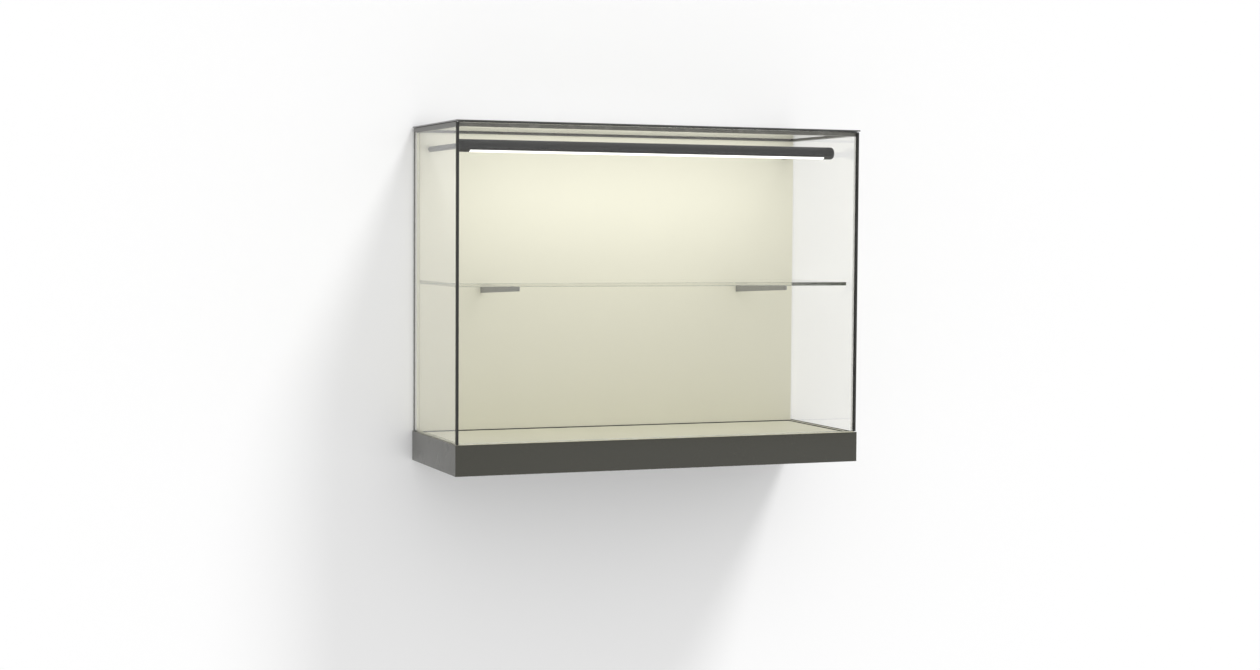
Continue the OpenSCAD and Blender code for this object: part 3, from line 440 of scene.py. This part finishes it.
def rubber(r, colour, cover=1.0):
    """Matt rubber with a faint bloom; cover below 1 lets light through."""
    bloom = r.grain(20 * MM, 4.0)
    fine = r.grain(0.5 * MM)
    r.surface(Base_Color=r.mix(r.fade(bloom, 0.45, 0.8) * 0.5, shade(colour), shade(colour, 2.0)),
              Roughness=0.72 + fine * 0.15, Alpha=cover,
              Normal=r.relief(fine, 0.02 * MM), Specular_IOR_Level=0.2)


def moulding(r, colour):
    """Moulded plastic with a spark-eroded texture."""
    fine = r.grain(0.35 * MM)
    cloud = r.grain(30 * MM)
    r.surface(Base_Color=r.mottle(colour, cloud, 0.03), Roughness=0.45 + fine * 0.15,
              Normal=r.relief(fine, 0.03 * MM))


def opal(r, light, strength):
    """Lit opal lens, a little cloudy."""
    cloud = r.grain(30 * MM, 2.0)
    r.surface(Base_Color=shade(OPAL), Roughness=0.35 + cloud * 0.1,
              Emission_Color=r.mix(cloud, shade(light, 0.94), shade(light)), Emission_Strength=strength)


def phosphor(r, colour, strength):
    """Lit light chips."""
    grit = r.grain(0.3 * MM, 3.0)
    r.surface(Base_Color=r.mottle(colour, grit, 0.1), Roughness=0.6 + grit * 0.2,
              Emission_Color=r.mottle(CHIP_GLOW, grit, 0.05), Emission_Strength=strength)


def clear_pane(r, tint, slant_tint, shadow_tint, square, graze):
    """Showcase glass with a few faint wiping marks.

    A face seen square mirrors the share called square, and more by graze at a grazing angle."""
    wipe = r.fade(r.grain(35 * MM, 4.0, (1.0, 1.0, 2.5)), 0.5, 0.8)
    slant = r.node("ShaderNodeLayerWeight", inputs={"Blend": 0.5}, output="Facing")
    seen = r.mix(slant ** 2.0, shade(tint), shade(slant_tint))
    shadow = r.node("ShaderNodeLightPath", output="Is Shadow Ray")
    through = r.node("ShaderNodeBsdfTransparent",
                     inputs={"Color": r.mix(shadow, seen, shade(shadow_tint))})
    gloss = r.node("ShaderNodeBsdfGlossy",
                   inputs={"Color": shade(WHITE), "Roughness": 0.01 + wipe * 0.03})
    r.show(r.node("ShaderNodeMixShader",
                  inputs={0: square + graze * slant ** 5.0, 1: through, 2: gloss}))


def polished_edge(r, tint, mirror):
    """Polished glass edge: clear from outside, and a tinted mirror when seen from within the glass."""
    grind = r.grain(0.6 * MM, 3.0)
    bend = r.node("ShaderNodeFresnel", inputs={"IOR": GLASS_IOR})
    through = r.node("ShaderNodeBsdfTransparent", inputs={"Color": shade(tint)})
    gloss = r.node("ShaderNodeBsdfGlossy",
                   inputs={"Color": shade(mirror), "Roughness": 0.1 + grind * 0.1})
    r.show(r.node("ShaderNodeMixShader", inputs={0: bend, 1: through, 2: gloss}))


def ground_edge(r, colour, edge_shade_x):
    """Ground glass edge, nearly clear, with a strip of painted shade on its outer side, where a glass
    edge shows dark.
    """
    grind = r.grain(0.4 * MM, 3.0)
    across = r.node("ShaderNodeSeparateXYZ", inputs={0: r.place()})
    # Painted shade: the outer strip of the edge is dark and nearly opaque
    bead = r.fade(across.most(0 - across), edge_shade_x - 0.2 * MM, edge_shade_x + 0.2 * MM)
    r.surface(Base_Color=r.mottle(colour, grind, 0.1), Roughness=0.5 + grind * 0.2,
              Alpha=0.06 + bead * (0.84 + grind * 0.1))


def backdrop(r, colour):
    """Pale matt paint that is seen from its front only."""
    back = r.node("ShaderNodeNewGeometry", output="Backfacing")
    paint = r.node("ShaderNodeBsdfDiffuse", inputs={"Color": shade(colour)})
    clear = r.node("ShaderNodeBsdfTransparent", inputs={"Color": shade(WHITE)})
    r.show(r.node("ShaderNodeMixShader", inputs={0: back, 1: paint, 2: clear}))


def black_rubber():
    return material("black_rubber", rubber, BLACK_RUBBER)


def bright_zinc():
    return material("zinc", zinc_plate, ZINC)


# Shapes


def add_piece(name, shape, finishes, body, slot, *nodes):
    """Makes a piece from a bmesh, rides it on a body and lets it stand for CAD nodes."""
    mesh = bpy.data.meshes.new(name)
    shape.to_mesh(mesh)
    shape.free()
    for finish in finishes:
        mesh.materials.append(finish)
    mesh.shade_smooth()
    mesh.set_sharp_from_angle(angle=SHADE_ANGLE)
    piece = bpy.data.objects.new(name, mesh)
    bpy.context.scene.collection.objects.link(piece)
    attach(piece, body)
    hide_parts(*nodes)


def body_of(node):
    bodies = frame["record"]["behaviour"]["bodies"]
    return next(name for name, members in bodies.items() if node in members)


def merged_copy(node):
    """A bmesh of a CAD node with its triangles joined into flat faces."""
    shape = bmesh.new()
    shape.from_mesh(frame["nodes"][node].data)
    bmesh.ops.remove_doubles(shape, verts=shape.verts, dist=WELD)
    bmesh.ops.dissolve_limit(shape, angle_limit=FLAT_ANGLE, verts=shape.verts, edges=shape.edges)
    return shape


def eased(node, finish, slot, width):
    """Makes a piece like the CAD node with its long sharp edges rounded."""
    shape = merged_copy(node)
    sharp = [e for e in shape.edges
             if e.is_manifold and e.calc_face_angle() > SHARP_ANGLE
             and e.calc_length() > EASE_REACH * width]
    bmesh.ops.bevel(shape, geom=sharp, offset=width, offset_type="OFFSET", affect="EDGES",
                    segments=EASE_SEGMENTS, profile=0.5, material=-1, clamp_overlap=True)
    add_piece(node + "_eased", shape, [finish], body_of(node), slot, node)


def dress(finish, *nodes):
    """Gives CAD nodes that keep their own shape a finish."""
    for node in nodes:
        materials = frame["nodes"][node].data.materials
        materials.clear()
        materials.append(finish)


def solids_of(node):
    """Lowest and highest corner of each separate solid in a node."""
    shape = merged_copy(node)
    boxes = []
    left = set(shape.verts)
    while left:
        group = set()
        edge = {left.pop()}
        while edge:
            group |= edge
            edge = {e.other_vert(v) for v in edge for e in v.link_edges} - group
        left -= group
        corners = list(zip(*[v.co for v in group]))
        boxes.append((Vector(map(min, corners)), Vector(map(max, corners))))
    shape.free()
    return boxes


def glaze(node, arris, clear, edge, ends, rear, band=None, band_z=0.0):
    """Makes a pane with an arris all round.

    Its left and right ends and its rear edge have their own finishes. Its faces are clear,
    with a printed band above a height where one is given."""
    low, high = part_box(node)
    shape = bmesh.new()
    bmesh.ops.create_cube(shape, size=1.0)
    bmesh.ops.scale(shape, vec=high - low, verts=shape.verts)
    bmesh.ops.translate(shape, vec=(low + high) / 2, verts=shape.verts)
    bmesh.ops.bevel(shape, geom=shape.edges, offset=arris, offset_type="OFFSET", affect="EDGES",
                    segments=1, profile=0.5, material=-1)
    finishes = [clear, edge, ends, rear]
    by_area = sorted(shape.faces, key=lambda face: face.calc_area())
    for face in by_area[:-2]:
        if face.normal.y > REAR_FACING:
            face.material_index = finishes.index(rear)
        else:
            face.material_index = finishes.index(ends if abs(face.normal.x) > END_FACING else edge)
    if band:
        finishes.append(band)
        bmesh.ops.bisect_plane(shape, geom=shape.verts[:] + shape.edges[:] + shape.faces[:], dist=WELD,
                               plane_co=(0, 0, band_z), plane_no=(0, 0, 1))
        for face in shape.faces:
            if face.material_index == 0 and face.calc_center_median().z > band_z:
                face.material_index = finishes.index(band)
    add_piece(node + "_pane", shape, finishes, body_of(node), "clear_glass", node)


def hexagon_reach(angle):
    """Radius of a hexagon, with flats at radius 1, in the direction of an angle."""
    return 1.0 / cos((angle + pi / 6) % (pi / 3) - pi / 6)


def sunk_screws(node, finish, slot, up, socket_share):
    """Makes countersunk screws with hexagon sockets.

    Up is 1 where the heads show above, and -1 where they show below."""
    shape = bmesh.new()
    for low, high in solids_of(node):
        middle = (low + high) / 2
        length = high.z - low.z
        head_r = (high.x - low.x) / 2
        shank_r = head_r * SHANK_SHARE
        flat_r = head_r * socket_share
        depth = head_r * SOCKET_DEPTH
        profile = [(0.0, -length), (shank_r, -length), (shank_r, shank_r - head_r), (head_r, 0.0),
                   (flat_r * SOCKET_RIM, 0.0), (flat_r, 0.0), (flat_r, -depth), (0.0, -depth)]
        line = [shape.verts.new((x, 0.0, z)) for x, z in profile]
        edges = [shape.edges.new(pair) for pair in zip(line, line[1:])]
        bmesh.ops.spin(shape, geom=line + edges, axis=(0, 0, 1), cent=(0, 0, 0), angle=2 * pi,
                       steps=SCREW_STEPS, use_merge=True)
        own = [v for v in shape.verts if not v.tag]
        for v in own:
            v.tag = True
            if abs(hypot(v.co.x, v.co.y) - flat_r) < WELD:
                v.co.xy *= hexagon_reach(atan2(v.co.y, v.co.x))
        place = Matrix.Translation((middle.x, middle.y, high.z if up > 0 else low.z))
        turn = Matrix.Scale(up, 4, (0, 0, 1))
        bmesh.ops.transform(shape, matrix=place @ turn, verts=own)
    bmesh.ops.remove_doubles(shape, verts=shape.verts, dist=WELD)
    bmesh.ops.recalc_face_normals(shape, faces=shape.faces)
    add_piece(node + "_cut", shape, [finish], body_of(node), slot, node)


# Operators


class SHOWCASE_OT_base(bpy.types.Operator):
    """Base: painted skirt and rim, bottom cover, deck and the blocks under the panes"""

    bl_idname = "showcase.base"
    bl_label = "Base"

    def execute(self, context):
        colours, details = context.scene.showcase_colours, context.scene.showcase_details
        shell = material("base_paint", powder_coat, colours.base, *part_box("base_shell"))
        deck = material("deck_lacquer", lacquer, colours.deck)
        zinc = bright_zinc()
        eased("base_shell", shell, "base_paint", details.ease)
        eased("base_rim", deck, "rim_paint", details.ease)
        eased("deck_bearers", zinc, "zinc", details.ease)
        eased("setting_blocks", black_rubber(), "black_rubber", details.soft_ease)
        dress(shell, "base_cover")
        dress(deck, "deck_panel")
        eased("deck_seal", black_rubber(), "black_rubber", THIN_SHARE * details.soft_ease)
        sunk_screws("cover_screws", zinc, "zinc", -1, details.socket_share)
        return {"FINISHED"}


class SHOWCASE_OT_supply(bpy.types.Operator):
    """Lamp supply in the base: driver, terminal block and cable grommet"""

    bl_idname = "showcase.supply"
    bl_label = "Supply"

    def execute(self, context):
        details = context.scene.showcase_details
        case = material("driver_case", moulding, DRIVER_CASE)
        eased("led_driver", case, "driver_case", details.ease)
        eased("terminal_block", case, "driver_case", details.soft_ease)
        dress(black_rubber(), "cable_grommet")
        return {"FINISHED"}


class SHOWCASE_OT_back(bpy.types.Operator):
    """Back: pan, fixing plates, drilled uprights, magnets and the cream panel"""

    bl_idname = "showcase.back"
    bl_label = "Back"

    def execute(self, context):
        colours, details = context.scene.showcase_colours, context.scene.showcase_details
        zinc = bright_zinc()
        dress(material("pan_paint", powder_coat, colours.cream, *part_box("back_pan")), "back_pan")
        dress(zinc, "fixing_plates", "upright_left", "upright_right", "panel_posts",
              "arm_sockets", "pan_bolts")
        dress(material("magnet_plate", turned_metal, MAGNET, 0.15), "panel_magnets")
        dress(material("panel_lacquer", lacquer, colours.cream), "back_panel")
        eased("pane_tapes", material("foam_tape", rubber, FOAM_TAPE), "white_tape", details.soft_ease)
        return {"FINISHED"}


class SHOWCASE_OT_top(bpy.types.Operator):
    """Top frame: rails, cap, cap screws and the door's gaskets"""

    bl_idname = "showcase.top"
    bl_label = "Top frame"

    def execute(self, context):
        colours, details = context.scene.showcase_colours, context.scene.showcase_details
        for side in ("front", "rear", "left", "right"):
            node = "top_rail_" + side
            paint = material(node, powder_coat, colours.rail, *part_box(node))
            eased(node, paint, "rail_paint", details.ease)
        cap = material("cap", powder_coat, colours.cap, *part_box("top_cap"))
        eased("top_cap", cap, "cap_paint", details.ease)
        black = material("black_screw", turned_metal, BLACK_STEEL, 0.3)
        sunk_screws("cap_screws", black, "black_screw", 1, details.socket_share)
        clear = material("clear_silicone", rubber, colours.deck, CLEAR_COVER)
        eased("door_seal", clear, "pale_silicone", details.soft_ease)
        grey = material("head_rubber", rubber, colours.head)
        eased("head_seal", grey, "grey_rubber", details.soft_ease)
        pale = material("silicone", rubber, colours.deck)
        eased("sill_seal", pale, "pale_silicone", details.soft_ease)
        return {"FINISHED"}


class SHOWCASE_OT_panes(bpy.types.Operator):
    """Glass: side panes, top pane, door pane and shelf"""

    bl_idname = "showcase.panes"
    bl_label = "Panes"

    def execute(self, context):
        colours, details = context.scene.showcase_colours, context.scene.showcase_details
        glass, slant, shadow = colours.glass, colours.glass_slant, colours.glass_shadow
        side = material("side_pane", clear_pane, glass, slant, shadow, *SIDE_MIRROR)
        front = material("front_pane", clear_pane, glass, slant, shadow, *FRONT_MIRROR)
        flat = material("top_pane", clear_pane, glass, glass, shadow, *LEVEL_MIRROR)
        shelf = material("shelf_pane", clear_pane, glass, glass, glass, *LEVEL_MIRROR)
        edge = material("polished_edge", polished_edge, colours.glass_edge, DARK_EDGE)
        pale_edge = material("pale_edge", polished_edge, colours.glass_edge, PALE_EDGE)
        # The side panes' rear edges carry a strip of painted shade on their outer side
        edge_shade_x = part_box("right_glass")[1].x - details.bead
        ground = material("ground_edge", ground_edge, EDGE_SHADE_PAINT, edge_shade_x)
        band = material("printed_band", lacquer, colours.band)
        rail_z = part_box("top_rail_left")[0].z
        for node in ("left_glass", "right_glass"):
            glaze(node, details.arris, side, edge, edge, ground, band, rail_z)
        for node, face, rim in (("door_glass", front, pale_edge), ("top_glass", flat, edge),
                                ("glass_shelf", shelf, pale_edge)):
            glaze(node, details.arris, face, rim, edge, rim)
        return {"FINISHED"}


class SHOWCASE_OT_door(bpy.types.Operator):
    """Door metal: dark edge bars, pivot pins, bushes and washer"""

    bl_idname = "showcase.door"
    bl_label = "Door metal"

    def execute(self, context):
        colours, details = context.scene.showcase_colours, context.scene.showcase_details
        bar = material("door_bar", anodised, colours.cap, BAR_LINES, *BAR_GLOSS)
        eased("hinge_stile", bar, "cap_paint", details.soft_ease)
        eased("lock_stile", bar, "cap_paint", details.soft_ease)
        dress(material("pin_steel", turned_metal, PIN_STEEL, 0.25), "pivot_pins", "lock_bolt")
        dress(material("bush_bronze", turned_metal, BRONZE, 0.3), "pivot_bushes")
        dress(material("washer_nylon", moulding, BLACK_NYLON), "pivot_washer")
        return {"FINISHED"}


class SHOWCASE_OT_shelf(bpy.types.Operator):
    """Shelf blades with their bolts and pads"""

    bl_idname = "showcase.shelf"
    bl_label = "Shelf blades"

    def execute(self, context):
        colours, details = context.scene.showcase_colours, context.scene.showcase_details
        for side in ("left", "right"):
            node = "shelf_bracket_" + side
            paint = material(node, satin_paint, colours.blade, *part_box(node))
            eased(node, paint, "bracket_steel", details.soft_ease)
        dress(bright_zinc(), "bracket_bolts")
        eased("shelf_pads", black_rubber(), "black_rubber", THIN_SHARE * details.soft_ease)
        return {"FINISHED"}


class SHOWCASE_OT_lamp(bpy.types.Operator):
    """Lamp: tube, lit lens, light board, holders and arms"""

    bl_idname = "showcase.lamp"
    bl_label = "Lamp"

    def execute(self, context):
        colours, details = context.scene.showcase_colours, context.scene.showcase_details
        tube = material("lamp_tube", anodised, colours.lamp, TUBE_LINES, *LAMP_GLOSS)
        arm = material("lamp_arm", anodised, colours.lamp, ARM_LINES, *LAMP_GLOSS)
        dress(tube, "lamp_tube", "lamp_end_plugs", "lamp_holder_left", "lamp_holder_right")
        dress(arm, "lamp_arm_left", "lamp_arm_right")
        dress(material("opal_lens", opal, colours.light, details.lens_light), "lamp_lens")
        dress(material("light_board", moulding, LIGHT_BOARD), "led_board")
        dress(material("light_chips", phosphor, LIGHT_CHIP, details.lens_light), "led_chips")
        return {"FINISHED"}


class SHOWCASE_OT_lock(bpy.types.Operator):
    """Push lock under the base: bracket, housing, nut, plunger, arm and key plug"""

    bl_idname = "showcase.lock"
    bl_label = "Lock"

    def execute(self, context):
        details = context.scene.showcase_details
        zinc = bright_zinc()
        chrome = material("lock_chrome", turned_metal, CHROME, 0.16)
        eased("lock_bracket", zinc, "zinc", details.soft_ease)
        dress(zinc, "lock_nut", "lock_carrier")
        dress(chrome, "lock_housing", "lock_plunger")
        dress(material("key_brass", turned_metal, BRASS, 0.22), "lock_plug")
        return {"FINISHED"}


class SHOWCASE_OT_stage(bpy.types.Operator):
    """Stage: camera, key light, light in the case, even room light, pale backdrop and floor"""

    bl_idname = "showcase.stage"
    bl_label = "Stage"

    def execute(self, context):
        scene, stage = context.scene, context.scene.showcase_stage
        scene.view_settings.view_transform = "Standard"
        self.camera(scene, stage)
        self.lights(scene, stage)
        self.planes(stage)
        return {"FINISHED"}

    def camera(self, scene, stage):
        lens = bpy.data.cameras.new("photo_camera")
        lens.sensor_width = SENSOR_W
        lens.lens = lens.sensor_width * stage.focal_px / IMAGE_W
        eye = bpy.data.objects.new("photo_camera", lens)
        turn = (Matrix.Rotation(-stage.yaw, 4, "Z") @ Matrix.Rotation(pi / 2 - stage.pitch, 4, "X")
                @ Matrix.Rotation(-stage.roll, 4, "Z"))
        eye.matrix_world = Matrix.Translation(stage.eye) @ turn
        scene.collection.objects.link(eye)
        scene.camera = eye

    def lights(self, scene, stage):
        key = bpy.data.lights.new("key_light", "SUN")
        key.energy = stage.sun_strength
        key.angle = stage.sun_spread
        lamp = bpy.data.objects.new("key_light", key)
        lamp.matrix_world = Vector(stage.sun_towards).to_track_quat("-Z", "Y").to_matrix().to_4x4()
        scene.collection.objects.link(lamp)
        low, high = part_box("lamp_lens")
        beam = bpy.data.lights.new("case_light", "AREA")
        beam.shape = "RECTANGLE"
        beam.size, beam.size_y = high.x - low.x, high.y - low.y
        beam.energy = stage.beam_power
        glow = bpy.data.objects.new("case_light", beam)
        middle = (low + high) / 2
        place = Matrix.Translation((middle.x, middle.y, low.z - BEAM_GAP))
        glow.matrix_world = place @ Matrix.Rotation(stage.beam_tilt, 4, "X")
        glow.visible_camera = glow.visible_glossy = glow.visible_transmission = False
        scene.collection.objects.link(glow)
        world = bpy.data.worlds.new("room")
        scene.world = world
        r = Recipe(world)
        # The eye, mirrors and glass see a white room, and the case gets the room's own light
        path = r.node("ShaderNodeLightPath", output="Is Camera Ray").socket.node.outputs
        seen = sum(Value(r, path[name])
                   for name in ("Is Camera Ray", "Is Glossy Ray", "Is Transmission Ray"))
        light = stage.sky_light + seen.least(1.0) * (1 - stage.sky_light)
        room = r.node("ShaderNodeBackground", inputs={"Color": shade(WHITE), "Strength": light})
        r.node("ShaderNodeOutputWorld", inputs={"Surface": room})

    def planes(self, stage):
        paint = material("backdrop", backdrop, stage.wall)
        floor_z = CAD_BOX[0].z - stage.floor_drop
        wall = (Matrix.Translation((0, CAD_BOX[1].y + stage.wall_gap, 0))
                @ Matrix.Rotation(pi / 2, 4, "X"))
        floor = Matrix.Translation((0, 0, floor_z))
        for name, place in (("backdrop", wall), ("floor", floor)):
            shape = bmesh.new()
            bmesh.ops.create_grid(shape, x_segments=1, y_segments=1, size=STAGE_REACH, matrix=place)
            mesh = bpy.data.meshes.new(name)
            shape.to_mesh(mesh)
            shape.free()
            mesh.materials.append(paint)
            plane = bpy.data.objects.new(name, mesh)
            plane.visible_diffuse = False
            plane.visible_shadow = False
            bpy.context.scene.collection.objects.link(plane)


GROUPS = {
    "showcase_colours": ShowcaseColours,
    "showcase_details": ShowcaseDetails,
    "showcase_stage": ShowcaseStage,
}
STEPS = (SHOWCASE_OT_base, SHOWCASE_OT_supply, SHOWCASE_OT_back, SHOWCASE_OT_top, SHOWCASE_OT_panes,
         SHOWCASE_OT_door, SHOWCASE_OT_shelf, SHOWCASE_OT_lamp, SHOWCASE_OT_lock, SHOWCASE_OT_stage)


class SHOWCASE_PT_sidebar(bpy.types.Panel):
    """Sizes, colours and steps of the showcase"""

    bl_idname = "SHOWCASE_PT_sidebar"
    bl_label = "Showcase"
    bl_space_type = "VIEW_3D"
    bl_region_type = "UI"
    bl_category = "Showcase"

    def draw(self, context):
        for group in GROUPS:
            box = self.layout.box()
            values = getattr(context.scene, group)
            # The first two properties are every group's own type and name
            for name in values.bl_rna.properties.keys()[2:]:
                box.prop(values, name)
        for step in STEPS:
            self.layout.operator(step.bl_idname)


CLASSES = (*GROUPS.values(), *STEPS, SHOWCASE_PT_sidebar)


def register():
    for made in CLASSES:
        bpy.utils.register_class(made)
    for name, kind in GROUPS.items():
        setattr(bpy.types.Scene, name, PointerProperty(type=kind))


def unregister():
    for name in GROUPS:
        delattr(bpy.types.Scene, name)
    for made in reversed(CLASSES):
        bpy.utils.unregister_class(made)


def main():
    register()
    for step in STEPS:
        group, name = step.bl_idname.split(".")
        getattr(getattr(bpy.ops, group), name)()


if __name__ == "__main__":
    main()
